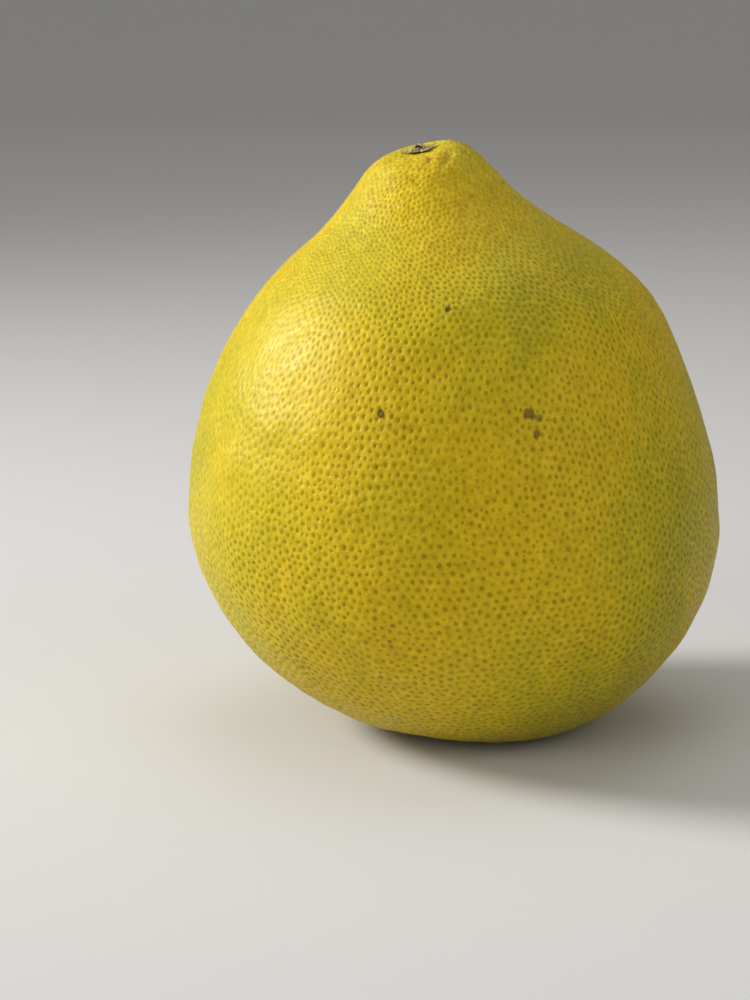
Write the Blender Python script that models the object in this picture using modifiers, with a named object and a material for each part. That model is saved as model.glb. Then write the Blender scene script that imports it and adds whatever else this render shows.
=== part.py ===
"""Whole pear-shaped grapefruit of the pomelo kind, as picked, standing on its own rest spot.

The origin is the middle of the flat rest spot, +Z runs up to the crown, and the neck leans
towards -X. Lengths in the constants are millimetres; meshes and placements are metres.
"""

import math

import bmesh
import bpy
import numpy as np

MM = 0.001
COLLECTION = "grapefruit"

# Outline of the fruit from the middle of its base up to the floor of the crown's dimple.
# Each station is (radius, height, sideways place of the centre) and steers a cubic B-spline.
OUTLINE = (
    (0.0, -0.6, 8.4),
    (28.0, -0.6, 8.4),
    (50.4, 13.4, 3.0),
    (64.3, 33.0, 2.2),
    (69.2, 51.2, 0.6),
    (66.3, 72.6, -0.3),
    (59.7, 93.4, -1.1),
    (52.4, 108.1, 0.3),
    (44.3, 117.4, 0.5),
    (35.3, 124.3, -3.9),
    (21.2, 134.7, -8.2),
    (10.8, 150.6, -8.7),
    (0.0, 145.6, -8.7),
)
POINTS_PER_SPAN = 3
TURN_STEPS = 64
DEPTH_PER_WIDTH = 0.985  # the fruit is a little narrower from front to back

# The crown slopes: it falls towards -X and a little towards the front.
TILT_START = 114.0
CROWN_FALL_LEFT = math.radians(14.7)
CROWN_FALL_FRONT = math.radians(5.0)

# Shallow swellings round the fruit as (waves round it, share of the radius, turn).
SWELLINGS = ((3, 0.006, math.pi / 2), (5, 0.003, math.pi / 2))
SWELLING_FADE = 30.0  # radius below which they die away

REST_ROUNDING = 0.12  # half height of the soft step from the flat spot into the side

GAP = 0.3  # between touching pieces

# Dried calyx in the dimple: a thin ring with five blunt lobes.
CALYX_HOLE = 1.75
CALYX_RADIUS = 4.4
CALYX_THICKNESS = 0.6
CALYX_EDGE_RISE = 0.2
CALYX_LOBES = 5
CALYX_NOTCH = 0.22  # how deep the notches go, as a share of the radius
CALYX_STEPS = 60

# Broken hollow end of the stalk, inside the calyx.
STUB_RADIUS = 1.35
STUB_HEIGHT = 1.2
STUB_BORE = 0.65
STUB_BORE_DEPTH = 0.7
STUB_CHAMFER = 0.2
STUB_STEPS = 28

RIND_COLOUR = (0.47, 0.35, 0.02, 1.0)
CALYX_COLOUR = (0.20, 0.12, 0.05, 1.0)
STUB_COLOUR = (0.11, 0.065, 0.03, 1.0)


def clear_scene():
    for old in list(bpy.data.objects):
        bpy.data.objects.remove(old, do_unlink=True)


def new_collection(name):
    collection = bpy.data.collections.new(name)
    bpy.context.scene.collection.children.link(collection)
    return collection


def principled(name, colour, roughness):
    material = bpy.data.materials.new(name)
    material.use_nodes = True
    shader = material.node_tree.nodes["Principled BSDF"]
    shader.inputs["Base Color"].default_value = colour
    shader.inputs["Roughness"].default_value = roughness
    shader.inputs["Metallic"].default_value = 0.0
    material.diffuse_color = colour
    return material


def smooth_step(low, high, value):
    share = np.clip((value - low) / (high - low), 0.0, 1.0)
    return share * share * (3.0 - 2.0 * share)


def outline_curve(per_span):
    """Points of the cubic B-spline through the outline's stations, mirrored at both axis ends."""
    stations = np.array(OUTLINE)
    across_axis = np.array((-1.0, 1.0, 1.0))
    net = np.vstack((stations[1] * across_axis, stations, stations[-2] * across_axis))
    spans = len(net) - 3
    place = np.linspace(0.0, spans, spans * per_span + 1)
    first = np.minimum(place.astype(int), spans - 1)
    t = (place - first)[:, None]
    weights = (
        (1.0 - t) ** 3,
        3.0 * t**3 - 6.0 * t**2 + 4.0,
        -3.0 * t**3 + 3.0 * t**2 + 3.0 * t + 1.0,
        t**3,
    )
    return sum(weight * net[first + step] for step, weight in enumerate(weights)) / 6.0


def sideways(height):
    """Sideways place of the fruit's centre line at a height, measured from the rest spot."""
    curve = outline_curve(24)
    rising = curve[: int(np.argmax(curve[:, 1])) + 1]
    return np.interp(height, rising[:, 1], rising[:, 2]) - rising[0, 2]


def crown_floor(radius):
    """Height of the dimple's surface at a small radius, before the crown is tilted."""
    crown = outline_curve(24)[::-1]
    dimple = crown[: int(np.argmax(crown[:, 1])) + 1]
    return np.interp(radius, dimple[:, 0], dimple[:, 1])


def lean(points):
    """Carries straight turned points onto the bent centre line and the sloping crown."""
    x, y, z = points.T
    y = y * DEPTH_PER_WIDTH
    share = smooth_step(TILT_START, OUTLINE[-2][1], z)
    slope = math.tan(CROWN_FALL_LEFT) * x + math.tan(CROWN_FALL_FRONT) * y
    return np.stack((x + sideways(z), y, z + slope * share), axis=1)


def swell(points):
    """Adds the shallow swellings, which leave the base and the crown round."""
    x, y, z = points.T
    radius = np.hypot(x, y)
    angle = np.arctan2(y, x)
    fade = np.clip(radius / SWELLING_FADE, 0.0, 1.0) ** 2
    growth = sum(share * np.cos(waves * angle - turn) for waves, share, turn in SWELLINGS)
    grown = 1.0 + growth * fade
    return np.stack((x * grown, y * grown, z), axis=1)


def settle(points):
    """Flattens what would reach below the resting plane, with a soft step into the side."""
    x, y, z = points.T
    rounded = (z + REST_ROUNDING) ** 2 / (4.0 * REST_ROUNDING)
    z = np.where(z < REST_ROUNDING, np.where(z > -REST_ROUNDING, rounded, 0.0), z)
    return np.stack((x, y, z), axis=1)


def turned_mesh(name, profile, steps):
    """Mesh of a profile (radius, height) turned about Z; it runs down the outer side."""
    mesh = bpy.data.meshes.new(name + "_profile")
    points = [(radius, 0.0, height) for radius, height in profile]
    edges = [(n, n + 1) for n in range(len(points) - 1)]
    mesh.from_pydata(points, edges, [])
    guide = bpy.data.objects.new(name + "_profile", mesh)
    bpy.context.scene.collection.objects.link(guide)
    screw = guide.modifiers.new("Turn", "SCREW")
    screw.steps = steps
    screw.render_steps = steps
    screw.use_merge_vertices = True
    screw.merge_threshold = 0.0001
    depsgraph = bpy.context.evaluated_depsgraph_get()
    turned = bpy.data.meshes.new_from_object(guide.evaluated_get(depsgraph))
    bpy.data.objects.remove(guide, do_unlink=True)
    bpy.data.meshes.remove(mesh)
    turned.name = name
    return turned


def get_points(mesh):
    values = np.empty(len(mesh.vertices) * 3)
    mesh.vertices.foreach_get("co", values)
    return values.reshape(-1, 3)


def finish_mesh(mesh, points):
    """Writes the points in metres, makes the mesh one smooth body and faces it outwards."""
    mesh.vertices.foreach_set("co", (points * MM).ravel())
    shell = bmesh.new()
    shell.from_mesh(mesh)
    bmesh.ops.remove_doubles(shell, verts=shell.verts, dist=1e-6)
    bmesh.ops.recalc_face_normals(shell, faces=shell.faces)
    shell.to_mesh(mesh)
    shell.free()
    mesh.shade_smooth()
    mesh.set_sharp_from_angle(angle=math.radians(40.0))
    mesh.update()


def place_piece(name, mesh, base, material, collection, parent=None):
    """Puts a mesh made in the fruit's frame into an object whose origin is at its base."""
    offset = np.array(base)
    points = get_points(mesh) - offset
    mesh.vertices.foreach_set("co", points.ravel())
    piece = bpy.data.objects.new(name, mesh)
    collection.objects.link(piece)
    piece.location = base
    piece.parent = parent
    mesh.materials.clear()
    mesh.materials.append(material)
    return piece


def crown_centre():
    """Middle of the dimple's floor in metres, where the calyx and the stub stand."""
    floor = np.array(((0.0, 0.0, float(crown_floor(0.0))),))
    return tuple(float(value) * MM for value in lean(floor)[0])


def make_fruit(collection):
    curve = outline_curve(POINTS_PER_SPAN)[::-1]
    mesh = turned_mesh("fruit", curve[:, :2], TURN_STEPS)
    points = settle(lean(swell(get_points(mesh))))
    finish_mesh(mesh, points)
    rind = principled("rind", RIND_COLOUR, 0.42)
    return place_piece("fruit", mesh, (0.0, 0.0, 0.0), rind, collection)


def make_calyx(collection, fruit):
    """A ring that follows the dimple's floor; its rim is drawn in between the lobes."""
    top = CALYX_THICKNESS + GAP
    inner, outer = CALYX_HOLE, CALYX_RADIUS
    middle = (inner + outer) / 2.0
    profile = (
        (inner, top),
        (middle, top + CALYX_EDGE_RISE / 2.0),
        (outer, top + CALYX_EDGE_RISE),
        (outer, GAP + CALYX_EDGE_RISE),
        (middle, GAP),
        (inner, GAP),
        (inner, top),
    )
    mesh = turned_mesh("calyx", profile, CALYX_STEPS)
    x, y, lift = get_points(mesh).T
    radius = np.hypot(x, y)
    angle = np.arctan2(y, x)
    outwards = (radius - inner) / (outer - inner)
    notch = CALYX_NOTCH * outwards * (1.0 - np.cos(CALYX_LOBES * angle)) / 2.0
    shrink = 1.0 - notch
    height = crown_floor(radius * shrink) + lift
    finish_mesh(mesh, lean(np.stack((x * shrink, y * shrink, height), axis=1)))
    dried = principled("dried_calyx", CALYX_COLOUR, 0.85)
    return place_piece("calyx", mesh, crown_centre(), dried, collection, fruit)


def make_stalk_stub(collection, fruit):
    """A short hollow peg with a chamfered rim, closed below."""
    top = GAP + STUB_HEIGHT
    profile = (
        (0.0, top - STUB_BORE_DEPTH),
        (STUB_BORE, top - STUB_BORE_DEPTH),
        (STUB_BORE, top),
        (STUB_RADIUS - STUB_CHAMFER, top),
        (STUB_RADIUS, top - STUB_CHAMFER),
        (STUB_RADIUS, GAP),
        (0.0, GAP),
    )
    mesh = turned_mesh("stalk_stub", profile, STUB_STEPS)
    x, y, lift = get_points(mesh).T
    height = crown_floor(np.hypot(x, y)) + lift
    finish_mesh(mesh, lean(np.stack((x, y, height), axis=1)))
    bark = principled("broken_stalk", STUB_COLOUR, 0.9)
    return place_piece("stalk_stub", mesh, crown_centre(), bark, collection, fruit)


def build():
    clear_scene()
    collection = new_collection(COLLECTION)
    fruit = make_fruit(collection)
    make_calyx(collection, fruit)
    make_stalk_stub(collection, fruit)


build()
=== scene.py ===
import math

import bpy
import numpy as np
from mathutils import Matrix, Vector


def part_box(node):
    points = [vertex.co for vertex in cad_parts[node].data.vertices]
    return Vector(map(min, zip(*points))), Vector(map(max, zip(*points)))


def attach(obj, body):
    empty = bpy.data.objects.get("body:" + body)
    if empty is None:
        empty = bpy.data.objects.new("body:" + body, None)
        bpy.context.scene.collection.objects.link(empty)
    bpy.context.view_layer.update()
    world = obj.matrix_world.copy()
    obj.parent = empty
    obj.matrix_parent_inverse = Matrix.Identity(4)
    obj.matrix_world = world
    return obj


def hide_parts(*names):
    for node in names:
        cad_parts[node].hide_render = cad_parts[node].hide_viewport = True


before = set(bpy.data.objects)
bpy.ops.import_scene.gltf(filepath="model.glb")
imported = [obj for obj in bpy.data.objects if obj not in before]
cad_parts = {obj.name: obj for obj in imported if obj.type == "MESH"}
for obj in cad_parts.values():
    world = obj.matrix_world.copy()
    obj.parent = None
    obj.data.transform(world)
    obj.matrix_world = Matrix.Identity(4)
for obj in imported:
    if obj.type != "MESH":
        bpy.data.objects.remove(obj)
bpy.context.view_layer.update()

mm = 0.001

# The fruit's form, in millimetres, the same as the solid's: change both together.
fruitForm = {
    # from the base up to the floor of the crown's dimple: radius, height, sideways place of the centre
    "outline": (
        (0.0, -0.6, 8.4),
        (28.0, -0.6, 8.4),
        (50.4, 13.4, 3.0),
        (64.3, 33.0, 2.2),
        (69.2, 51.2, 0.6),
        (66.3, 72.6, -0.3),
        (59.7, 93.4, -1.1),
        (52.4, 108.1, 0.3),
        (44.3, 117.4, 0.5),
        (35.3, 124.3, -3.9),
        (21.2, 134.7, -8.2),
        (10.8, 150.6, -8.7),
        (0.0, 145.6, -8.7),
    ),
    "depthPerWidth": 0.985,
    "tiltStart": 114.0,
    "fallLeft": math.radians(14.7),
    "fallFront": math.radians(5.0),
    "swellings": ((3, 0.006), (5, 0.003)),  # waves round the fruit, share of the radius
    "swellingFade": 30.0,
    "restRounding": 0.12,
}


def smoothStep(low, high, value):
    # 3t^2 - 2t^3, with t running from 0 at low to 1 at high
    share = np.clip((value - low) / (high - low), 0.0, 1.0)
    return share * share * (3.0 - 2.0 * share)


def outlineCurve(perSpan=24):
    # uniform cubic B-spline of the outline's stations; its second station is mirrored across the
    # axis at each end, so the curve starts and ends square to the axis
    stations = np.array(fruitForm["outline"])
    acrossAxis = np.array((-1.0, 1.0, 1.0))
    net = np.vstack((stations[1] * acrossAxis, stations, stations[-2] * acrossAxis))
    spans = len(net) - 3
    place = np.linspace(0.0, spans, spans * perSpan + 1)
    first = np.minimum(place.astype(int), spans - 1)
    t = (place - first)[:, None]
    weights = ((1 - t) ** 3, 3 * t**3 - 6 * t**2 + 4, -3 * t**3 + 3 * t**2 + 3 * t + 1, t**3)
    return sum(weight * net[first + step] for step, weight in enumerate(weights)) / 6.0


outline = outlineCurve()
crownTop = int(np.argmax(outline[:, 1]))


def sidewaysAt(height):
    # the centre line's sideways place, read off the rising part of the outline
    rising = outline[: crownTop + 1]
    return np.interp(height, rising[:, 1], rising[:, 2]) - rising[0, 2]


def dimpleFloor(radius):
    # height of the dimple's surface at a small radius, before the crown is tilted
    dimple = outline[::-1][: len(outline) - crownTop]
    return np.interp(radius, dimple[:, 0], dimple[:, 1])


def leanOver(x, y, z):
    # bends the upright form: x moves with the centre line, and the crown's heights gain x tan(a) + y tan(b)
    y = y * fruitForm["depthPerWidth"]
    share = smoothStep(fruitForm["tiltStart"], fruitForm["outline"][-2][1], z)
    slope = math.tan(fruitForm["fallLeft"]) * x + math.tan(fruitForm["fallFront"]) * y
    return np.stack((x + sidewaysAt(z), y, z + slope * share), axis=-1)


crownFloor = leanOver(np.array(0.0), np.array(0.0), np.array(dimpleFloor(0.0)))  # where the calyx sits


def settleOn(points):
    # nothing reaches below the resting plane; the step into the side is a short parabola
    soft = fruitForm["restRounding"]
    z = points[..., 2]
    rounded = (z + soft) ** 2 / (4.0 * soft)
    z = np.where(z < soft, np.where(z > -soft, rounded, 0.0), z)
    return np.concatenate((points[..., :2], z[..., None]), axis=-1)


# How the oil glands lie in the rind.
glandSetup = {
    "seed": 41,
    "frequency": 40,  # 10 f^2 + 2 glands
    "neckCrowding": 1.1,  # how much denser they are on the neck
    "neckStart": 96.0,
    "neckEnd": 140.0,
    "walkSteps": 14,
    "walk": 0.12,  # each step of the random walk, in gland spacings
    "settleRounds": 7,
    "push": 0.11,  # share of the wrong distance made good in a round
    "spread": 0.36,  # how unlike their sizes are
    "ringReach": 0.47,  # most of the way to the nearest neighbour that a pit may take
    "pitRadius": 1.02,
    "pitDepth": 0.2875,  # as a share of the pit's radius
    "smallDepth": 0.3,  # the smallest ones' depth, as a share of the others'
    "fadedDepth": 0.75,  # how much of its depth a pit loses where it fades
    "rimHeight": 0.015,
    "awayFromPits": 3.0,  # what the pit map says between pits
}


def arcOfShare():
    # share of all glands between the base and each point of the outline: the running sum of
    # radius times arc length times crowding
    radius, height = outline[:, 0], outline[:, 1]
    step = np.hypot(np.diff(radius), np.diff(height))
    middleRadius = (radius[1:] + radius[:-1]) / 2.0
    middleHeight = (height[1:] + height[:-1]) / 2.0
    crowding = smoothStep(glandSetup["neckStart"], glandSetup["neckEnd"], middleHeight)
    count = middleRadius * step * (1.0 + glandSetup["neckCrowding"] * crowding)
    return np.concatenate(((0.0,), np.cumsum(count))) / count.sum()


outlineShare = arcOfShare()


def fruitSurface(direction):
    # maps a direction on the unit sphere to the rind: the share of the sphere below it picks the
    # point of the outline, its angle about Z is kept, then the form is swelled, leaned and settled
    below = (1.0 + direction[..., 2]) / 2.0
    radius = np.sqrt(np.interp(below, outlineShare, outline[:, 0] ** 2))  # squared: the poles stay smooth
    height = np.interp(below, outlineShare, outline[:, 1])
    flat = np.hypot(direction[..., 0], direction[..., 1]) + 1e-12
    cosAngle, sinAngle = direction[..., 0] / flat, direction[..., 1] / flat
    angle = np.arctan2(sinAngle, cosAngle)
    fade = np.clip(radius / fruitForm["swellingFade"], 0.0, 1.0) ** 2
    growth = sum(share * np.sin(waves * angle) for waves, share in fruitForm["swellings"])
    radius = radius * (1.0 + growth * fade)
    return leanOver(radius * cosAngle, radius * sinAngle, height)


def unitRows(vectors):
    return vectors / (np.linalg.norm(vectors, axis=-1, keepdims=True) + 1e-20)


def tangentPair(direction):
    # two directions square to each other and to the given one
    reference = np.where(np.abs(direction[..., 2:]) < 0.9, (0.0, 0.0, 1.0), (1.0, 0.0, 0.0))
    first = unitRows(np.cross(reference, direction))
    return first, np.cross(direction, first)


def surfaceFrame(direction, reach=0.004):
    # outward normal and millimetres per radian, from central differences along two tangents
    first, second = tangentPair(direction)
    alongFirst = fruitSurface(unitRows(direction + reach * first))
    alongFirst = (alongFirst - fruitSurface(unitRows(direction - reach * first))) / (2.0 * reach)
    alongSecond = fruitSurface(unitRows(direction + reach * second))
    alongSecond = (alongSecond - fruitSurface(unitRows(direction - reach * second))) / (2.0 * reach)
    across = np.cross(alongFirst, alongSecond)
    area = np.linalg.norm(across, axis=-1)
    return across / area[..., None], np.sqrt(area)


def evenLattice(frequency):
    # an icosahedron whose faces carry triangular grids: each grid point is its face's corners
    # weighted by the sines of their shares of the edge angle, and pushed out to the sphere
    golden = (1.0 + math.sqrt(5.0)) / 2.0
    signs = np.array([(a, b) for a in (-1.0, 1.0) for b in (-1.0, 1.0)])
    corners = np.concatenate([
        np.roll(np.stack((0.0 * signs[:, 0], signs[:, 0], golden * signs[:, 1]), 1), turn, axis=1)
        for turn in range(3)
    ])
    corners = unitRows(corners)
    near = np.abs(corners @ corners.T - 1.0 / math.sqrt(5.0)) < 1e-6
    triple = np.argwhere(near[:, :, None] & near[None, :, :] & near[:, None, :])
    triple = triple[(triple[:, 0] < triple[:, 1]) & (triple[:, 0] < triple[:, 2])]
    triple = triple[np.linalg.det(corners[triple]) > 0.0]  # outward ones only, each once
    i, j = np.meshgrid(np.arange(frequency + 1), np.arange(frequency + 1), indexing="ij")
    inside = i + j <= frequency
    number = np.full(inside.shape, -1)
    number[inside] = np.arange(inside.sum())
    i, j = i[inside], j[inside]
    share = np.stack((i, j, frequency - i - j), axis=1) / frequency
    weight = np.sin(share * math.atan(2.0))
    points = unitRows(np.einsum("gc,fcx->fgx", weight, corners[triple]))
    up = i + j < frequency
    iu, ju = i[up], j[up]
    upward = np.stack((number[iu, ju], number[iu + 1, ju], number[iu, ju + 1]), axis=1)
    down = i + j < frequency - 1
    iv, jv = i[down], j[down]
    downward = np.stack((number[iv + 1, jv], number[iv + 1, jv + 1], number[iv, jv + 1]), axis=1)
    small = np.concatenate((upward, downward))
    small = (small[None] + (np.arange(len(triple)) * len(i))[:, None, None]).reshape(-1, 3)
    key = np.floor(points.reshape(-1, 3) * 1e5 + 0.37).astype(int)
    _, first, same = np.unique(key, axis=0, return_index=True, return_inverse=True)
    centres = points.reshape(-1, 3)[first]
    triangles = same.reshape(-1)[small]
    a, b, c = (centres[triangles[:, n]] for n in range(3))
    outward = np.einsum("ij,ij->i", np.cross(b - a, c - a), a) > 0.0
    triangles[~outward] = triangles[~outward][:, ::-1]
    return centres, triangles


boxLow, boxHigh = (np.array(corner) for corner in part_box("fruit"))
formPoints = settleOn(fruitSurface(evenLattice(60)[0]))
formLow, formHigh = formPoints.min(axis=0), formPoints.max(axis=0)
print("form against the solid's box:", np.round((boxHigh - boxLow) / (formHigh - formLow) / mm, 4))


def inFrame(points):
    # stretches and moves the form's millimetres so that the form's box falls on the fruit's box
    return boxLow + (points - formLow) / (formHigh - formLow) * (boxHigh - boxLow)


def halfEdges(triangles, count):
    # every triangle's three directed edges: start, end, the corner that faces it, and the number
    # of the same edge run the other way in the next triangle
    start = triangles.reshape(-1).astype(np.int64)
    end = triangles[:, (1, 2, 0)].reshape(-1).astype(np.int64)
    facing = triangles[:, (2, 0, 1)].reshape(-1)
    code = start * count + end
    order = np.argsort(code)
    opposite = order[np.searchsorted(code[order], end * count + start)]
    return start, end, facing, opposite


def outwards(centres, a, b, c):
    # whether a triangle faces away from the sphere's middle, by the sign of its triple product
    across = np.cross(centres[b] - centres[a], centres[c] - centres[a])
    return np.einsum("ij,ij->i", across, centres[a]) > 0.0


def turnEdges(centres, triangles, rounds):
    # turns each edge whose two facing angles add up to more than half a turn, the worst of its
    # two triangles first, so that every point ends up joined to its natural neighbours
    for _ in range(rounds):
        start, end, facing, opposite = halfEdges(triangles, len(centres))
        one, other = centres[start] - centres[facing], centres[end] - centres[facing]
        sine = np.linalg.norm(np.cross(one, other), axis=1)
        angle = np.arctan2(sine, np.einsum("ij,ij->i", one, other))
        excess = np.where(start < end, angle + angle[opposite] - math.pi, 0.0)
        excess[excess < 1e-4] = 0.0
        face = np.arange(len(start)) // 3
        worst = np.zeros(len(triangles))
        np.maximum.at(worst, face, excess)
        np.maximum.at(worst, face[opposite], excess)
        isWorst = (excess == worst[face]) & (excess == worst[face[opposite]])
        pick = np.flatnonzero((excess > 0.0) & isWorst)
        a, b, c, d = start[pick], end[pick], facing[pick], facing[opposite[pick]]
        opened = outwards(centres, a, d, c) & outwards(centres, d, b, c)
        pick, a, b, c, d = (values[opened] for values in (pick, a, b, c, d))
        if len(pick) == 0:
            break
        triangles[face[pick]] = np.stack((a, d, c), axis=1)
        triangles[face[opposite[pick]]] = np.stack((d, b, c), axis=1)
    return triangles


def scatterGlands():
    # a random walk away from the even lattice, then rounds in which each pair of neighbours is
    # pushed towards a distance in proportion to its two sizes
    setup = glandSetup
    chance = np.random.default_rng(setup["seed"])
    centres, triangles = evenLattice(setup["frequency"])
    count = len(centres)
    spacing = math.sqrt(8.0 * math.pi / math.sqrt(3.0) / count)
    size = 1.0 + setup["spread"] * (2.0 * chance.random(count) - 1.0)
    for turn in range(setup["walkSteps"] + setup["settleRounds"]):
        start, end, _, _ = halfEdges(triangles, count)
        gap = centres[end] - centres[start]
        length = np.linalg.norm(gap, axis=1)
        wanted = spacing * (0.22 + 0.39 * (size[start] + size[end]))
        push = gap * (setup["push"] * (length - wanted) / length)[:, None]
        move = np.stack([np.bincount(start, push[:, axis], count) for axis in range(3)], axis=1)
        if turn < setup["walkSteps"]:
            first, second = tangentPair(centres)
            step = np.clip(chance.normal(0.0, 1.0, (count, 2)), -1.8, 1.8) * setup["walk"] * spacing
            move = move + step[:, :1] * first + step[:, 1:] * second
        centres = unitRows(centres + move)
        triangles = turnEdges(centres, triangles, 12)
    triangles = turnEdges(centres, triangles, 40)
    return centres, triangles, size, chance


def ripples(points, wavelength, seed, waves=14):
    # smooth noise of about unit height: a mean of sine waves in random directions and phases
    chance = np.random.default_rng(seed)
    heading = unitRows(chance.normal(size=(waves, 3))) * 2.0 * math.pi / wavelength
    heading = heading * chance.uniform(0.75, 1.3, (waves, 1))
    phase = chance.uniform(0.0, 2.0 * math.pi, waves)
    return np.sin(points @ heading.T + phase).sum(axis=-1) * math.sqrt(2.0 / waves)


# Marks on the rind: turn about Z from the front in degrees (towards +X), height, radius in
# millimetres, how deep it is dug, how brown it is and how strongly its middle is painted pale, a
# painted highlight for the glint on the speck's raised middle.
rindMarks = {
    "deepSpeck": (-1.5, 115.5, 0.9, 0.22, 0.95, 0.6),
    "highSpeck": (-15.5, 92.2, 1.15, 0.30, 0.95, 0.35),
    "rubbedScar": (18.4, 92.3, 1.50, 0.12, 0.75, 0.0),
    "rubbedScarEnd": (20.6, 91.2, 1.05, 0.10, 0.60, 0.0),
    "lowerScar": (19.6, 87.6, 1.20, 0.10, 0.75, 0.0),
    "pinhole": (-0.5, 108.2, 0.45, 0.08, 0.85, 0.0),
    "secondPinhole": (5.0, 96.5, 0.5, 0.08, 0.85, 0.0),
    "thirdPinhole": (-7.5, 83.8, 0.45, 0.08, 0.80, 0.0),
    "lowSpeck": (-14.5, 38.2, 0.6, 0.10, 0.80, 0.35),
    "backScar": (152.0, 88.0, 2.2, 0.15, 0.7, 0.0),
    "backSpeck": (-118.0, 61.0, 0.9, 0.2, 0.9, 0.35),
    "sideSpeck": (84.0, 52.0, 0.8, 0.15, 0.85, 0.35),
}


def markPlace(turn, height):
    # point of the rind at this height, turned from the front about the centre line
    rising = outline[: crownTop + 1]
    radius = np.interp(height, rising[:, 1], rising[:, 0])
    angle = math.radians(turn) - math.pi / 2.0
    x, y = radius * math.cos(angle), radius * math.sin(angle)
    return leanOver(np.array(x), np.array(y), np.array(height))


def patchSum(points, patches):
    # sum over the patches of strength times exp(-(distance / reach)^2)
    total = 0.0
    for turn, height, reach, strength in patches:
        distance = np.linalg.norm(points - markPlace(turn, height), axis=-1)
        total = total + strength * np.exp(-((distance / reach) ** 2))
    return total


# Where the rind is greener (above 0) or more golden (below 0): turn, height, reach in mm, strength.
greenPatches = (
    (-84.0, 62.0, 46.0, 1.15),
    (-62.0, 18.0, 26.0, 0.30),
    (34.0, 8.0, 34.0, 0.85),
    (22.0, 122.0, 20.0, 0.80),
    (-52.0, 134.0, 16.0, 0.45),
    (78.0, 66.0, 46.0, 0.85),
    (-60.0, 104.0, 22.0, -0.20),
    (4.0, 66.0, 34.0, -0.80),
    (-22.0, 28.0, 24.0, -0.25),
    (0.0, 142.0, 9.0, -1.10),
    (140.0, 95.0, 34.0, -0.55),
    (190.0, 36.0, 38.0, 0.55),
    (-140.0, 80.0, 30.0, -0.40),
)

# Where the pits are shallower and paler, in the same way. The first two lie on the left where the
# key light falls brightest, so their paler pit colour there is a painted highlight; the last, on the
# back, is the rind's own.
fadeAndHighlightPatches = (
    (-60.0, 98.0, 32.0, 0.70),
    (-70.0, 62.0, 26.0, 0.30),
    (160.0, 70.0, 40.0, 0.35),
)

# The slow changes over the rind, each as height or strength, wavelength in millimetres and seed.
rindDrifts = {
    "swells": ((0.20, 46.0, 3), (0.09, 17.0, 4), (0.035, 6.5, 5)),
    "green": ((0.30, 48.0, 11), (0.16, 17.0, 12)),
    "greenEverywhere": 0.14,
    "faded": ((0.12, 30.0, 13),),
}

crownFurrows = {
    "count": 11,
    "depth": 0.80,
    "inner": 3.4,  # where they start and end, in millimetres from the calyx's middle
    "fullAt": 6.4,
    "fadeFrom": 9.0,
    "outer": 20.0,
    "sway": (0.22, 17.0, 7),  # how far they wander round: radians, wavelength, seed
    "breaks": (0.45, 12.0, 8),  # how much their depth comes and goes: share, wavelength, seed
}


def driftSum(points, drifts):
    # sum of the ripples of each drift
    return sum(strength * ripples(points, wavelength, seed) for strength, wavelength, seed in drifts)


def greenness(points):
    # 0 where the rind is golden, 1 where it is green
    everywhere = rindDrifts["greenEverywhere"]
    return everywhere + driftSum(points, rindDrifts["green"]) + patchSum(points, greenPatches)


def fadeAndHighlightShare(points):
    # 0 where the pits are plain, towards 1 where they fade; on the lit left their paler colour is a painted
    # highlight
    return (driftSum(points, rindDrifts["faded"]) + patchSum(points, fadeAndHighlightPatches)).clip(0.0, 1.0)


def furrowDepth(points):
    # narrow grooves that run out from the calyx: (1/2 + 1/2 cos(count x angle))^3 round the crown,
    # with the angle and the depth wavering, that fades in past the calyx and out down the neck
    furrows = crownFurrows
    away = points - crownFloor
    distance = np.linalg.norm(away, axis=-1)
    angle = np.arctan2(away[..., 1], away[..., 0]) + driftSum(points, (furrows["sway"],))
    groove = (0.5 + 0.5 * np.cos(furrows["count"] * angle)) ** 3
    steady = 1.0 - furrows["breaks"][0]
    groove = groove * (steady + driftSum(points, (furrows["breaks"],))).clip(0.0, 1.2)
    fadeIn = smoothStep(furrows["inner"], furrows["fullAt"], distance)
    fadeOut = 1.0 - smoothStep(furrows["fadeFrom"], furrows["outer"], distance)
    return furrows["depth"] * groove * fadeIn * fadeOut


def markDepth(points):
    # each mark is a hollow, exp(-d^2), inside a raised edge, 0.35 exp(-(2.2 (d - 1.6))^2), where d
    # is the distance as a share of the mark's radius
    total = 0.0
    for turn, height, radius, depth, _, _ in rindMarks.values():
        distance = np.linalg.norm(points - markPlace(turn, height), axis=-1) / radius
        edge = 0.35 * np.exp(-(((distance - 1.6) * 2.2) ** 2))
        total = total + depth * (np.exp(-(distance**2)) - edge)
    return total


def rindHeight(points):
    # everything coarser than a pit, in millimetres along the normal
    return driftSum(points, rindDrifts["swells"]) - furrowDepth(points) - markDepth(points)


def setPointValues(mesh, name, values):
    layer = mesh.attributes.new(name, "FLOAT", "POINT")
    layer.data.foreach_set("value", np.asarray(values, np.float32))


def meshFromArrays(name, points, faces):
    # points in metres, faces as rows of three or four corner numbers
    mesh = bpy.data.meshes.new(name)
    mesh.vertices.add(len(points))
    mesh.vertices.foreach_set("co", points.astype(np.float32).ravel())
    sides = faces.shape[1]
    mesh.loops.add(faces.size)
    mesh.loops.foreach_set("vertex_index", faces.astype(np.int32).ravel())
    mesh.polygons.add(len(faces))
    mesh.polygons.foreach_set("loop_start", np.arange(0, faces.size, sides, dtype=np.int32))
    mesh.update(calc_edges=True)
    mesh.validate()
    mesh.shade_smooth()
    return mesh


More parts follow.
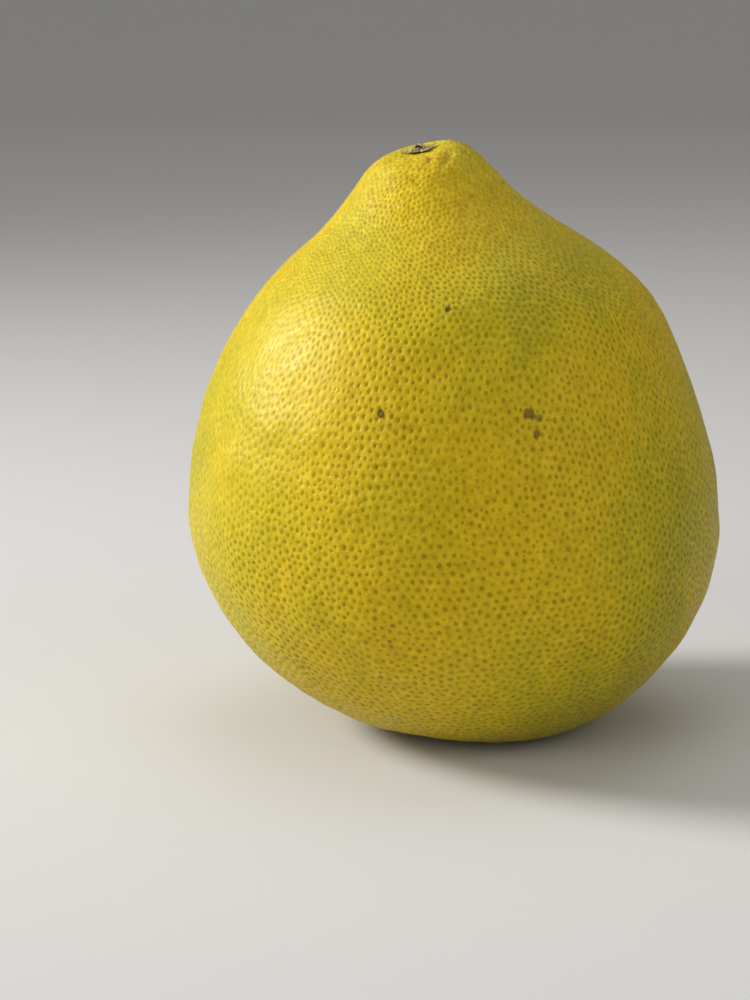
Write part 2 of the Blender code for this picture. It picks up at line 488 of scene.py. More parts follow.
def gridQuads(rows, columns, closedColumns=False):
    # quads between the neighbouring rows of a grid whose last row joins its first
    across = columns if closedColumns else columns - 1
    row, column = np.meshgrid(np.arange(rows), np.arange(across), indexing="ij")
    nextRow, nextColumn = (row + 1) % rows, (column + 1) % columns
    corners = (
        row * columns + column, nextRow * columns + column,
        nextRow * columns + nextColumn, row * columns + nextColumn,
    )
    return np.stack(corners, axis=-1).reshape(-1, 4)


def splitQuads(quads):
    return np.concatenate((quads[:, (0, 1, 2)], quads[:, (0, 2, 3)]))


def addPiece(name, mesh, material, node):
    piece = bpy.data.objects.new(name, mesh)
    bpy.context.scene.collection.objects.link(piece)
    mesh.materials.append(material)
    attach(piece, "root")
    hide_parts(node)
    return piece


def glandRings(centres, triangles, size):
    # round every gland a ring of points, one towards each triangle beside it, numbered after the
    # centres. It takes at most its share of the way to the nearest neighbour, and a gland smaller
    # than all its neighbours has none: its ring points are all its centre
    count = len(centres)
    start, end, _, _ = halfEdges(triangles, count)
    place = fruitSurface(centres)
    _, scale = surfaceFrame(centres)
    length = np.linalg.norm(place[start] - place[end], axis=1)
    nearest = np.full(count, np.inf)
    np.minimum.at(nearest, start, length)
    smallestNear = np.full(count, np.inf)
    np.minimum.at(smallestNear, start, size[end])
    small = size < smallestNear
    radius = np.minimum(glandSetup["pitRadius"] * size, glandSetup["ringReach"] * nearest)
    middle = unitRows(centres[triangles].sum(axis=1))
    towards = np.repeat(middle, 3, axis=0) - centres[start]
    along = np.einsum("ij,ij->i", towards, centres[start])[:, None]
    towards = unitRows(towards - along * centres[start])
    ring = unitRows(centres[start] + towards * (radius / scale)[start][:, None])
    ringed = ~small[start]
    ringNumber = np.where(ringed, count + np.cumsum(ringed) - 1, start).reshape(-1, 3)
    directions = np.concatenate((centres, ring[ringed]))
    glandOfPoint = np.concatenate((np.arange(count), start[ringed]))
    return directions, glandOfPoint, ringNumber, radius, scale, small


def rindFaces(triangles, ringNumber, glandOfPoint, small):
    # fans close the pits, two triangles fill between the rings along each edge and one triangle
    # between three rings; also gives each face's gland, or -1 where it belongs to none
    count = len(small)
    start, end, _, opposite = halfEdges(triangles, count)
    startRing = ringNumber.reshape(-1)
    endRing = ringNumber[:, (1, 2, 0)].reshape(-1)
    otherStart, otherEnd = endRing[opposite], startRing[opposite]
    once = start < end
    fan = np.stack((start, otherStart, startRing), axis=1)
    strip = np.concatenate((
        np.stack((startRing, otherStart, otherEnd), axis=1)[once],
        np.stack((startRing, otherEnd, endRing), axis=1)[once],
    ))
    faces = np.concatenate((fan, ringNumber, strip))
    gland = np.concatenate((start, np.full(len(faces) - len(fan), -1)))
    a, b, c = faces.T
    whole = (a != b) & (b != c) & (c != a)
    faces, gland = faces[whole], gland[whole]
    smallCentre = (faces < count) & small[glandOfPoint[faces]]
    atSmall = smallCentre.any(axis=1)
    gland[atSmall] = faces[atSmall, smallCentre[atSmall].argmax(axis=1)]
    return faces, gland


def pitMapOf(centres, directions, faces, gland, perRadius):
    # each corner's place in its pit: the centre is at 0, 0 and the edge at distance 1
    first, second = tangentPair(centres)
    offset = directions[faces] - centres[gland][:, None]
    offset = offset * perRadius[gland][:, None, None]
    x = np.einsum("fcx,fx->fc", offset, first[gland])
    y = np.einsum("fcx,fx->fc", offset, second[gland])
    pitMap = np.stack((x, y), axis=-1)
    pitMap[gland < 0] = glandSetup["awayFromPits"]
    return pitMap


def buildRind(material):
    # the fruit's surface plus the rind's own heights along the normal: swells, furrows, marks and
    # rims, less depth x radius at the middle of each pit
    setup = glandSetup
    centres, triangles, size, chance = scatterGlands()
    count = len(centres)
    directions, glandOfPoint, ringNumber, radius, scale, small = glandRings(centres, triangles, size)
    faces, gland = rindFaces(triangles, ringNumber, glandOfPoint, small)
    surface = fruitSurface(directions)
    normal, _ = surfaceFrame(directions)
    faded = fadeAndHighlightShare(surface)
    depth = setup["pitDepth"] * (0.6 + 0.8 * chance.random(count)) * radius
    depth = np.where(small, depth * setup["smallDepth"], depth)
    depth = depth * (1.0 - setup["fadedDepth"] * faded[:count])
    height = rindHeight(surface) + setup["rimHeight"]
    height[:count] -= depth + setup["rimHeight"]
    mesh = meshFromArrays("rind", inFrame(settleOn(surface + height[:, None] * normal)), faces)
    pitMap = pitMapOf(centres, directions, faces, gland, scale / radius)
    layer = mesh.uv_layers.new(name="pitMap")
    layer.data.foreach_set("uv", pitMap.astype(np.float32).ravel())
    setPointValues(mesh, "glandTone", chance.random(count)[glandOfPoint])
    setPointValues(mesh, "greenness", greenness(surface))
    setPointValues(mesh, "fadeAndHighlightShare", faded)
    setPointValues(mesh, "crownDistance", np.linalg.norm(surface - crownFloor, axis=1))
    print("rind:", count, "glands,", len(faces), "triangles, mean pit radius", radius.mean().round(2), "mm")
    return addPiece("rind_skin", mesh, material, "fruit")


class NodeBench:
    # short ways to add shader nodes to one material and join them

    def __init__(self, name):
        self.material = bpy.data.materials.new(name)
        self.material.use_nodes = True
        self.tree = self.material.node_tree
        self.shader = self.tree.nodes["Principled BSDF"]
        self.place = self.add("TexCoord").outputs["Object"]

    def add(self, kind, **settings):
        made = self.tree.nodes.new("ShaderNode" + kind)
        for key, value in settings.items():
            setattr(made, key, value)
        return made

    def feed(self, socket, value):
        if isinstance(value, bpy.types.NodeSocket):
            self.tree.links.new(value, socket)
        else:
            socket.default_value = value

    def reading(self, name):
        return self.add("Attribute", attribute_name=name).outputs["Fac"]

    def calc(self, kind, a, b=0.0, c=0.0):
        made = self.add("Math", operation=kind)
        self.feed(made.inputs[0], a)
        self.feed(made.inputs[1], b)
        self.feed(made.inputs[2], c)
        return made.outputs[0]

    def between(self, value, low, high, start=0.0, end=1.0, smooth=True):
        # start where the value is at low, end where it is at high
        made = self.add("MapRange", interpolation_type="SMOOTHSTEP" if smooth else "LINEAR")
        for socket, number in zip(made.inputs, (value, low, high, start, end)):
            self.feed(socket, number)
        return made.outputs[0]

    def noise(self, size, detail=3.0, rough=0.5, place=None):
        # the size of its lumps is in millimetres
        made = self.add("TexNoise")
        self.feed(made.inputs["Vector"], place or self.place)
        made.inputs["Scale"].default_value = 1.0 / (size * mm)
        made.inputs["Detail"].default_value = detail
        made.inputs["Roughness"].default_value = rough
        return made.outputs["Fac"]

    def mix(self, share, first, second, kind="MIX"):
        made = self.add("Mix", data_type="RGBA", blend_type=kind)
        colours = [socket for socket in made.inputs if socket.type == "RGBA"]
        self.feed(made.inputs[0], share)
        self.feed(colours[0], first)
        self.feed(colours[1], second)
        return [socket for socket in made.outputs if socket.type == "RGBA"][0]

    def bump(self, height, distance, strength=1.0, under=None):
        made = self.add("Bump")
        self.feed(made.inputs["Strength"], strength)
        made.inputs["Distance"].default_value = distance * mm
        self.feed(made.inputs["Height"], height)
        if under is not None:
            self.feed(made.inputs["Normal"], under)
        return made.outputs["Normal"]

    def times(self, a, b):
        return self.calc("MULTIPLY", a, b)

    def stretched(self, x, y, z):
        made = self.add("Mapping")
        self.feed(made.inputs["Vector"], self.place)
        made.inputs["Scale"].default_value = (x, y, z)
        return made.outputs["Vector"]


rindLook = {
    "gold": (0.620, 0.425, 0.006, 1.0),
    "deepGold": (0.590, 0.375, 0.005, 1.0),
    "green": (0.505, 0.405, 0.006, 1.0),
    "deepGreen": (0.385, 0.330, 0.008, 1.0),
    "pale": (0.740, 0.560, 0.035, 1.0),
    "oil": (0.310, 0.205, 0.004, 1.0),
    "oilTint": (0.56, 0.53, 0.40, 1.0),  # what the oil leaves of the colour over it
    "russet": (0.300, 0.170, 0.035, 1.0),
    "scab": (0.110, 0.058, 0.016, 1.0),
    # painted highlight: the pale glint in the middle of a raised speck
    "paintedGlint": (0.720, 0.600, 0.250, 1.0),
    # sizes of the patterns' lumps, in millimetres
    "driftSize": 9.0,
    "goldSize": 11.0,
    "wetEdgeSize": 0.55,
    "webSize": 1.3,
    "lateGlandSize": 1.25,
    "mottleSize": 2.6,
    "threadSize": 1.5,
    "streakSize": 1.9,
    "filmSize": 3.5,
    "grainSize": 0.42,
    # how strong they are
    "web": 0.42,
    "pitEdge": (0.66, 1.06),  # radius of the dark spot as a share of the pit's, least and most
    "pitDark": (0.48, 0.90),
    "neckDark": 0.22,  # share of that left on the neck
    # what fading pits keep of their dark spot; on the lit left this paleness is a painted highlight
    "fadedDark": 0.2,
    "lateGland": 0.48,
    "lateFrom": (0.50, 0.15),  # share of the cells with no late gland, on the body and on the neck
    "mottle": (0.83, 1.12),
    "paleThread": 0.60,
    "oilThread": 0.50,
    "streak": 0.5,
    # the wax on it
    "roughness": (0.35, 0.50),
    "scabRoughness": 0.3,
    "crownRoughness": 0.12,
    "grainDepth": 0.06,
    "bowlDepth": 0.16,
    "lateDepth": 0.05,
    "gloss": 0.34,
    "glossTint": (1.0, 0.90, 0.42, 1.0),
    "refraction": 1.44,
    "glow": 0.12,
    "glowColour": (1.0, 0.62, 0.12),
    "glowReach": 0.0022,
}


def groundColour(b, look):
    # gold to green in broad drifts, from the greenness that the mesh carries
    drift = b.calc("ADD", b.reading("greenness"), b.times(b.noise(look["driftSize"], 5.0, 0.65), 0.8))
    ground = b.mix(b.between(drift, -0.20, 1.30), look["gold"], look["green"])
    golden = b.between(b.noise(look["goldSize"], 4.0, 0.6), 0.50, 0.74, 0.0, 0.5)
    ground = b.mix(golden, ground, look["deepGold"])
    return b.mix(b.between(drift, 0.85, 1.9, 0.0, 0.8), ground, look["deepGreen"])


def pitDistance(b, look):
    # 0 at a pit's middle and 1 at its edge, a little uneven near the middle
    measure = b.add("VectorMath", operation="LENGTH")
    b.feed(measure.inputs[0], b.add("UVMap", uv_map="pitMap").outputs["UV"])
    distance = measure.outputs["Value"]
    uneven = b.calc("SUBTRACT", b.noise(look["wetEdgeSize"], 2.0), 0.5)
    return b.calc("ADD", distance, b.times(uneven, b.between(distance, 1.0, 0.6)))


def palerWeb(b, look, skin, fromCentre):
    # the pale net round the pits, broken up by fine noise
    broken = b.between(b.noise(look["webSize"], 3.0, 0.6), 0.38, 0.68, 0.12, 0.75)
    web = b.times(b.between(fromCentre, 0.72, 1.0), broken)
    return b.mix(b.times(web, look["web"]), skin, look["pale"])


def pitSpots(b, look, skin, oil, fromEdge, onNeck):
    # the oil showing through each pit, stronger in some, weak on the neck and paler where the pits
    # fade, which on the lit left is a painted highlight
    tone = b.reading("glandTone")
    strength = b.between(tone, 0.0, 1.0, *look["pitDark"], smooth=False)
    strength = b.times(strength, b.between(onNeck, 0.0, 1.0, 1.0, look["neckDark"], smooth=False))
    faded = b.between(b.reading("fadeAndHighlightShare"), 0.0, 1.0, 1.0, look["fadedDark"], smooth=False)
    share = b.times(b.between(fromEdge, 0.88, 0.26), b.times(strength, faded))
    return b.mix(share, skin, oil)


def lateGlands(b, look, fromCentre, onNeck):
    # small late glands between the large ones: the middles of some of the cells of a net
    cell = b.add("TexVoronoi", feature="F1")
    b.feed(cell.inputs["Vector"], b.place)
    cell.inputs["Scale"].default_value = 1.0 / (look["lateGlandSize"] * mm)
    splitter = b.add("SeparateColor")
    b.feed(splitter.inputs[0], cell.outputs["Color"])
    bar = b.between(onNeck, 0.0, 1.0, *look["lateFrom"], smooth=False)
    chosen = b.calc("GREATER_THAN", splitter.outputs[0], bar)
    dot = b.times(b.between(cell.outputs["Distance"], 0.30, 0.12), chosen)
    return b.times(dot, b.between(fromCentre, 0.9, 1.15))


def neckThreads(b, look, skin, oil, onNeck):
    # pale threads, and olive gaps between them, that run down the neck
    thread = b.noise(look["threadSize"], 3.0, 0.6, b.stretched(1.0, 1.0, 0.30))
    pale = b.times(b.between(thread, 0.52, 0.70), b.times(onNeck, look["paleThread"]))
    skin = b.mix(pale, skin, look["pale"])
    gap = b.times(b.between(thread, 0.46, 0.30), b.times(onNeck, look["oilThread"]))
    return b.mix(gap, skin, oil)


def crownStreaks(b, look, skin, nearCrown):
    # russet streaks that run down from the calyx
    streak = b.noise(look["streakSize"], 4.0, 0.6, b.stretched(1.0, 1.0, 0.16))
    share = b.times(b.between(streak, 0.52, 0.68), b.times(nearCrown, look["streak"]))
    return b.mix(share, skin, look["russet"])


def markedSkin(b, look, skin):
    # dark scabs with an uneven edge, some with a painted highlight, a pale glint, in the middle; also how
    # much of each place is scab
    scabShare = None
    for turn, height, radius, _, brown, torn in rindMarks.values():
        away = b.add("VectorMath", operation="DISTANCE")
        b.feed(away.inputs[0], b.place)
        away.inputs[1].default_value = tuple(inFrame(markPlace(turn, height)))
        uneven = b.calc("SUBTRACT", b.noise(0.9 + 0.3 * radius, 3.0, 0.7), 0.5)
        distance = b.calc("DIVIDE", away.outputs["Value"], radius * mm)
        distance = b.calc("ADD", distance, b.times(uneven, 1.3))
        scab = b.between(distance, 1.15, 0.65, 0.0, brown)
        skin = b.mix(scab, skin, look["scab"])
        # torn is how strong the painted highlight is: a pale glint painted in the speck's middle
        if torn > 0.0:
            skin = b.mix(b.between(distance, 0.42, 0.22, 0.0, torn), skin, look["paintedGlint"])
        scabShare = scab if scabShare is None else b.calc("MAXIMUM", scabShare, scab)
    return skin, scabShare


def rindMaterial():
    b = NodeBench("waxyRind")
    look = rindLook
    crownDistance = b.reading("crownDistance")
    onNeck = b.between(crownDistance, 54.0, 18.0)
    nearCrown = b.between(crownDistance, 24.0, 4.0)
    fromCentre = pitDistance(b, look)
    edge = b.between(b.reading("glandTone"), 0.0, 1.0, *look["pitEdge"], smooth=False)
    fromEdge = b.calc("DIVIDE", fromCentre, edge)
    ground = groundColour(b, look)
    oil = b.mix(0.55, look["oil"], b.mix(1.0, ground, look["oilTint"], "MULTIPLY"))
    skin = palerWeb(b, look, ground, fromCentre)
    skin = pitSpots(b, look, skin, oil, fromEdge, onNeck)
    lateDot = lateGlands(b, look, fromCentre, onNeck)
    skin = b.mix(b.times(lateDot, look["lateGland"]), skin, oil)
    mottle = b.between(b.noise(look["mottleSize"], 5.0, 0.65), 0.3, 0.7, *look["mottle"], smooth=False)
    shade = b.add("CombineColor")
    for socket in shade.inputs[:3]:
        b.feed(socket, mottle)
    skin = b.mix(1.0, skin, shade.outputs[0], "MULTIPLY")
    skin = neckThreads(b, look, skin, oil, onNeck)
    skin = crownStreaks(b, look, skin, nearCrown)
    skin, scabShare = markedSkin(b, look, skin)
    b.feed(b.shader.inputs["Base Color"], skin)
    # the wax is duller on the marks and near the calyx
    rough = b.between(b.noise(look["filmSize"], 4.0, 0.6), 0.3, 0.7, *look["roughness"], smooth=False)
    rough = b.calc("ADD", rough, b.times(scabShare, look["scabRoughness"]))
    rough = b.calc("ADD", rough, b.times(nearCrown, look["crownRoughness"]))
    b.feed(b.shader.inputs["Roughness"], rough)
    # over the meshed pits: the wax's grain, a round bowl in each and the late glands' small pits
    grain = b.bump(b.noise(look["grainSize"], 3.0, 0.6), look["grainDepth"], 0.7)
    steep = b.between(b.reading("fadeAndHighlightShare"), 0.0, 0.8, 0.9, 0.25, smooth=False)
    bowl = b.bump(b.between(fromEdge, 0.25, 1.25), look["bowlDepth"], steep, grain)
    b.feed(b.shader.inputs["Normal"], b.bump(lateDot, -look["lateDepth"], 0.7, bowl))
    b.shader.inputs["IOR"].default_value = look["refraction"]
    b.shader.inputs["Specular IOR Level"].default_value = look["gloss"]
    b.shader.inputs["Specular Tint"].default_value = look["glossTint"]
    b.shader.inputs["Subsurface Weight"].default_value = look["glow"]
    b.shader.inputs["Subsurface Radius"].default_value = look["glowColour"]
    b.shader.inputs["Subsurface Scale"].default_value = look["glowReach"]
    return b.material


def wavesRound(u, waves):
    # sum over the waves of strength times sin(count x u + phase)
    return sum(strength * np.sin(count * u + phase) for count, strength, phase in waves)


calyxForm = {
    "hole": 1.66,
    "reach": 4.35,
    "lobes": 5,
    "firstLobe": 0.35,  # turn of the first lobe
    "notch": 0.46,
    "lobePower": 1.4,  # how blunt a lobe is
    "thickness": 0.34,
    "gap": 0.22,
    "lowest": 0.34,  # height of the underside over the dimple's floor where nothing lifts it
    "collar": 0.42,  # how far the ring round the stalk stands up
    "collarPlace": (0.25, 0.42),  # how far out from the hole, and how wide
    "collarWaves": ((3, 0.25, 0.8), (8, 0.12, 0.0)),  # count, strength, phase
    "curl": (0.10, 0.75, 0.25, 0.55, 0.05),  # how far each lobe's tip lifts
    "length": (1.0, 0.86, 1.04, 0.93, 0.98),
    "rags": ((19, 0.030, 1.0), (33, 0.022, 2.0), (59, 0.015, 0.0)),
    "hollow": 0.08,
    "veins": (3, 0.05),  # in each lobe, and how high they are
    "wrinkles": ((0.050, 1.3, 31), (0.025, 0.5, 32)),  # height, wavelength, seed
    "around": 360,
    "across": 56,
}


def buildCalyx(material):
    # a closed band round the stalk: u is the angle, v runs out along the top and back underneath.
    # Its rim reaches 1 - notch |2w|^power, where w runs from -1/2 to 1/2 across a lobe; the tips
    # lift with the cube of the way out, and a ring, exp(-d^2), stands up beside the stalk
    form = calyxForm
    u = np.linspace(0.0, 2.0 * math.pi, form["around"], endpoint=False)[:, None]
    v = np.linspace(0.0, 1.0, form["across"], endpoint=False)[None, :]
    outward = 1.0 - np.abs(2.0 * v - 1.0)  # 0 at the hole, 1 at the rim
    onTop = v < 0.5
    turn = (u - form["firstLobe"]) / (2.0 * math.pi) * form["lobes"]
    lobe = np.round(turn).astype(int) % form["lobes"]
    w = turn - np.round(turn)
    petal = 1.0 - np.abs(2.0 * w) ** form["lobePower"]
    longer = 1.0 + (np.array(form["length"])[lobe] - 1.0) * petal
    rimShape = (1.0 - form["notch"] * (1.0 - petal)) * longer * (1.0 + wavesRound(u, form["rags"]))
    radius = form["hole"] + (form["reach"] * rimShape - form["hole"]) * outward
    x, y = radius * np.cos(u), radius * np.sin(u)
    rounding = np.sin(math.pi * np.clip(outward, 0.04, 0.96)) ** 0.3
    thick = form["thickness"] * (1.0 - 0.5 * outward) * rounding * (0.55 + 0.45 * petal)
    lifted = np.array(form["curl"])[lobe] * outward**3 * petal
    bulge = np.sin(math.pi * outward)
    sagged = form["hollow"] * bulge * np.cos(2.0 * math.pi * w)
    veinCount, veinHeight = form["veins"]
    veinWave = np.cos(2.0 * math.pi * veinCount * w)
    veins = veinHeight * veinWave * bulge**0.5
    collarAt, collarWidth = form["collarPlace"]
    collar = form["collar"] * np.exp(-(((radius - form["hole"] - collarAt) / collarWidth) ** 2))
    collar = collar * (0.75 + wavesRound(u, form["collarWaves"])) * np.where(onTop, 1.0, 0.35)
    flat = np.stack((x, y, 0.0 * x + 3.0 * v), axis=-1)
    wrinkle = driftSum(flat, form["wrinkles"]) * outward
    lift = form["lowest"] + lifted + sagged + veins + wrinkle + collar
    lift = np.maximum(lift, form["gap"]) + np.where(onTop, thick, 0.0)
    points = leanOver(x, y, dimpleFloor(radius) + lift).reshape(-1, 3)
    # in the grid's own order the faces would point inwards, so each goes round the other way
    faces = gridQuads(form["around"], form["across"], True)[:, (0, 3, 2, 1)]
    mesh = meshFromArrays("calyx", inFrame(points), faces)
    setPointValues(mesh, "rimShare", (outward + 0.0 * u).ravel())
    setPointValues(mesh, "lobeShare", (petal + 0.0 * v).ravel())
    setPointValues(mesh, "veinShare", (0.5 + 0.5 * veinWave + 0.0 * v).ravel())
    print("calyx:", len(mesh.polygons), "faces")
    return addPiece("dried_calyx_lobes", mesh, material, "calyx")


stubForm = {
    "radius": 1.34,
    "bore": 0.70,
    "height": 1.15,
    "gap": 0.25,
    "tallSide": 2.5,  # turn of the side that stands highest
    "tallShare": 0.42,
    "tears": ((3, 0.10, 0.4), (7, 0.09, 2.0), (13, 0.05, 0.0)),  # count, strength, phase
    "fibres": ((17, 0.035, 0.0), (31, 0.02, 1.0), (2, 0.05, 1.2)),
    "stepsPerCorner": 5,
    "around": 160,
}


def stubProfile(form):
    # up the outside, over the rim, down the bore and across its floor: radius, share of the height
    outer, bore = form["radius"], form["bore"]
    rim = (outer + bore) / 2.0
    return np.array((
        (0.0, 0.0), (outer * 0.7, 0.0), (outer * 1.04, 0.05), (outer, 0.5), (outer * 0.96, 0.88),
        (rim + 0.12, 1.0), (rim - 0.1, 0.97), (bore, 0.8), (bore * 0.9, 0.45), (bore * 0.6, 0.32),
        (0.0, 0.30),
    ))


def buildStub(material):
    # a torn hollow peg: its profile turned about the stalk's axis. The radius wavers with the
    # fibres, and the height gains height^3 x (tallShare cos(u - tallSide) + the tears)
    form = stubForm
    corners = stubProfile(form)
    last = len(corners) - 1
    along = np.linspace(0.0, last, form["stepsPerCorner"] * last + 1)[1:-1]
    radius = np.interp(along, np.arange(last + 1), corners[:, 0])[None, :]
    height = np.interp(along, np.arange(last + 1), corners[:, 1])[None, :]
    u = np.linspace(0.0, 2.0 * math.pi, form["around"], endpoint=False)[:, None]
    torn = form["tallShare"] * np.cos(u - form["tallSide"]) + wavesRound(u, form["tears"])
    wall = radius * (1.0 + wavesRound(u, form["fibres"]))
    lift = form["gap"] + form["height"] * height * (1.0 + torn * height**3)
    ringPoints = leanOver(wall * np.cos(u), wall * np.sin(u), dimpleFloor(wall) + lift).reshape(-1, 3)
    floor = float(dimpleFloor(0.0)) + form["gap"]
    boreFloor = floor + form["height"] * corners[-1, 1]
    poles = leanOver(np.zeros(2), np.zeros(2), np.array((floor, boreFloor)))
    # strips between the turns, and a fan at each end of the profile
    columns = len(along)
    walls = splitQuads(gridQuads(form["around"], columns))
    turn = np.arange(form["around"])
    after = (turn + 1) % form["around"]
    low = np.full_like(turn, len(ringPoints))
    under = np.stack((low, after * columns, turn * columns), axis=1)
    inside = np.stack((low + 1, turn * columns + columns - 1, after * columns + columns - 1), axis=1)
    points = inFrame(np.vstack((ringPoints, poles)))
    mesh = meshFromArrays("stub", points, np.concatenate((walls, under, inside)))
    boreShare = np.interp(along, (0.0, 5.0, 7.0, last), (0.0, 0.15, 1.0, 1.0))
    setPointValues(mesh, "boreShare", np.append(np.tile(boreShare, form["around"]), (0.0, 1.0)))
    print("stalk stub:", len(mesh.polygons), "faces")
    return addPiece("torn_stalk_end", mesh, material, "stalk_stub")


calyxLook = {
    "cream": (0.560, 0.450, 0.250, 1.0),
    "tan": (0.400, 0.290, 0.140, 1.0),
    "brown": (0.150, 0.088, 0.035, 1.0),
    # painted shade for the hollow by the stalk and the notches between the lobes
    "paintedShade": (0.040, 0.024, 0.011, 1.0),
    "olive": (0.230, 0.200, 0.045, 1.0),
    "grainSize": 0.8,  # millimetres, like the next two
    "oliveSize": 2.4,
    "fineSize": 0.20,
    "grainDepth": 0.12,
    "fineDepth": 0.05,
    "roughness": (0.72, 0.92),
}


def calyxMaterial():
    # tan and brown in patches, cream on the veins and the rim, and painted shade, near black, by the stalk
    # and in the notches
    b = NodeBench("driedCalyx")
    look = calyxLook
    grain = b.noise(look["grainSize"], 5.0, 0.65)
    colour = b.mix(b.between(grain, 0.36, 0.60), look["brown"], look["tan"])
    olive = b.between(b.noise(look["oliveSize"], 3.0), 0.52, 0.70, 0.0, 0.6)
    colour = b.mix(olive, colour, look["olive"])
    worn = b.times(b.between(b.reading("veinShare"), 0.35, 0.95), b.between(grain, 0.30, 0.55))
    colour = b.mix(b.times(worn, 0.75), colour, look["cream"])
    rimShare = b.reading("rimShare")
    colour = b.mix(b.between(rimShare, 0.86, 1.0, 0.0, 0.55), colour, look["cream"])
    # painted shade: near black round the stalk's foot and down each notch
    colour = b.mix(b.between(rimShare, 0.16, 0.0, 0.0, 0.85), colour, look["paintedShade"])
    colour = b.mix(b.between(b.reading("lobeShare"), 0.42, 0.05, 0.0, 0.80), colour, look["paintedShade"])
    b.feed(b.shader.inputs["Base Color"], colour)
    b.feed(b.shader.inputs["Roughness"], b.between(grain, 0.3, 0.7, *look["roughness"], smooth=False))
    fine = b.bump(b.noise(look["fineSize"], 4.0, 0.7), look["fineDepth"], 0.8)
    b.feed(b.shader.inputs["Normal"], b.bump(grain, look["grainDepth"], 0.8, fine))
    return b.material


stubLook = {
    "bark": (0.20, 0.125, 0.050, 1.0),
    "fibre": (0.52, 0.41, 0.22, 1.0),
    # painted shade for the inside of the bore
    "paintedShade": (0.045, 0.035, 0.010, 1.0),
    "fibreSize": 0.35,
    "fibreDepth": 0.12,
    "roughness": (0.78, 0.95),
}


def stubMaterial():
    # bark and pale fibres that run up the peg, and painted shade, near black, inside its bore
    b = NodeBench("tornStalk")
    look = stubLook
    fibre = b.noise(look["fibreSize"], 4.0, 0.6, b.stretched(1.0, 1.0, 0.25))
    colour = b.mix(b.between(fibre, 0.4, 0.62), look["bark"], look["fibre"])
    # painted shade: the bore darkens towards its floor
    colour = b.mix(b.between(b.reading("boreShare"), 0.35, 0.95, 0.0, 0.92), colour, look["paintedShade"])
    b.feed(b.shader.inputs["Base Color"], colour)
    b.feed(b.shader.inputs["Roughness"], b.between(fibre, 0.3, 0.7, *look["roughness"], smooth=False))
    b.feed(b.shader.inputs["Normal"], b.bump(fibre, look["fibreDepth"], 0.9))
    return b.material


studio = {
    "elevation": 12.0,  # degrees that the camera looks down
    "distance": 0.760,
    "lens": 107.2,
    "sensor": 36.0,
    "aimAbove": 0.0020,  # above the middle of the fruit's box
    "aimBeside": 0.0202,  # the fruit stands this far right of the aim, and this far above it
    "aimBelow": 0.0187,
    "floor": (0.62, 0.61, 0.59, 1.0),
    "floorRoughness": 0.9,
    "floorGloss": 0.1,
    "floorGap": 0.00005,
    "flatRadius": 1.5,
    "bendRadius": 1.0,
    "wallHeight": 1.4,
    "floorSteps": 128,
    "bendSteps": 24,
    "world": 0.31,
    "lightAim": (0.0, 0.0, 0.075),
    "lights": {  # place, size, watts, spread in degrees
        "key": ((-1.37, 0.22, 0.80), 0.56, 4.0, 66.0),
        "window": ((-1.10, -1.45, 0.95), 1.4, 3.6, 110.0),
        "fill": ((1.3, -1.0, 0.8), 1.5, 2.2, 110.0),
        "top": ((0.1, 0.4, 1.7), 1.5, 2.2, 110.0),
    },
}


def aimAt(thing, place, target):
    # turns its -Z axis from the place to the target, with Y up
    thing.location = place
    thing.rotation_euler = (Vector(target) - Vector(place)).to_track_quat("-Z", "Y").to_euler()


def buildCamera():
    # behind the target along the line of sight; the aim is slid beside and below the fruit
    tilt = math.radians(studio["elevation"])
    middle = (boxLow + boxHigh) / 2.0
    target = Vector((middle[0], 0.0, middle[2] + studio["aimAbove"]))
    back = Vector((0.0, -math.cos(tilt), math.sin(tilt)))
    upward = Vector((0.0, math.sin(tilt), math.cos(tilt)))
    aim = target - Vector((studio["aimBeside"], 0.0, 0.0)) - upward * studio["aimBelow"]
    camera = bpy.data.objects.new("camera", bpy.data.cameras.new("camera"))
    bpy.context.scene.collection.objects.link(camera)
    camera.data.lens = studio["lens"]
    camera.data.sensor_width = studio["sensor"]
    camera.data.clip_start = 0.01
    aimAt(camera, target + back * studio["distance"], aim)
    bpy.context.scene.camera = camera


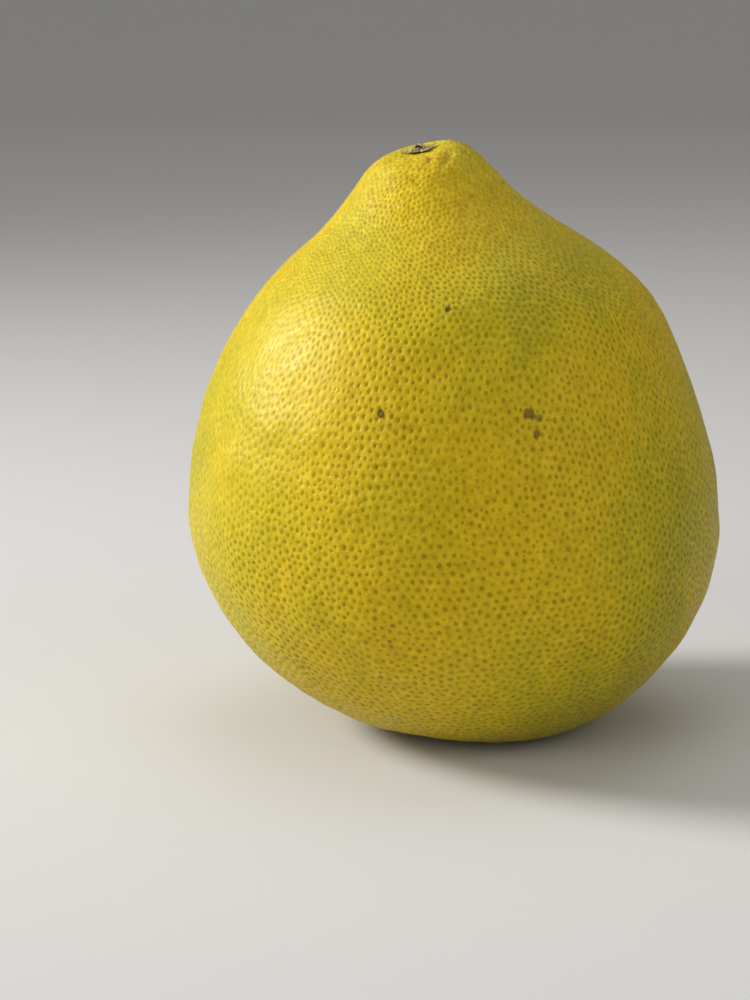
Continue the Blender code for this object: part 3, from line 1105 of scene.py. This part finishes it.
def buildFloor():
    # a round dish: flat round the fruit, then a quarter circle up into an upright wall; the
    # profile is turned about Z and its middle is closed with a fan
    flat, bend = studio["flatRadius"], studio["bendRadius"]
    arc = np.linspace(0.0, math.pi / 2.0, studio["bendSteps"] + 1)
    radius = np.concatenate(((0.3 * flat,), flat + bend * np.sin(arc), (flat + bend,)))
    height = np.concatenate(((0.0,), bend * (1.0 - np.cos(arc)), (studio["wallHeight"],)))
    around, columns = studio["floorSteps"], len(radius)
    u = np.linspace(0.0, 2.0 * math.pi, around, endpoint=False)[:, None]
    x, y = radius * np.cos(u), radius * np.sin(u)
    ringPoints = np.stack((x, y, height + 0.0 * u), axis=-1).reshape(-1, 3)
    points = np.vstack((ringPoints, (0.0, 0.0, 0.0))) - (0.0, 0.0, studio["floorGap"])
    turn = np.arange(around)
    after = (turn + 1) % around
    middle = np.full_like(turn, len(ringPoints))
    fan = np.stack((turn * columns, after * columns, middle), axis=1)
    rings = splitQuads(gridQuads(around, columns))[:, ::-1]
    mesh = meshFromArrays("floor", points, np.concatenate((rings, fan)))
    b = NodeBench("paleFloor")
    b.shader.inputs["Base Color"].default_value = studio["floor"]
    b.shader.inputs["Roughness"].default_value = studio["floorRoughness"]
    b.shader.inputs["Specular IOR Level"].default_value = studio["floorGloss"]
    mesh.materials.append(b.material)
    floor = bpy.data.objects.new("floor", mesh)
    bpy.context.scene.collection.objects.link(floor)


def buildLights():
    for name, (place, size, watts, spread) in studio["lights"].items():
        lamp = bpy.data.lights.new(name, "AREA")
        lamp.shape = "DISK"
        lamp.size = size
        lamp.energy = watts
        lamp.spread = math.radians(spread)
        light = bpy.data.objects.new(name, lamp)
        bpy.context.scene.collection.objects.link(light)
        aimAt(light, place, studio["lightAim"])
    world = bpy.data.worlds.new("softRoom")
    world.use_nodes = True
    world.node_tree.nodes["Background"].inputs["Color"].default_value = (1.0, 1.0, 1.0, 1.0)
    world.node_tree.nodes["Background"].inputs["Strength"].default_value = studio["world"]
    bpy.context.scene.world = world
    bpy.context.scene.view_settings.view_transform = "Standard"


buildCamera()
buildRind(rindMaterial())
buildCalyx(calyxMaterial())
buildStub(stubMaterial())
buildFloor()
buildLights()
print("studio: camera, floor and lights are in place")
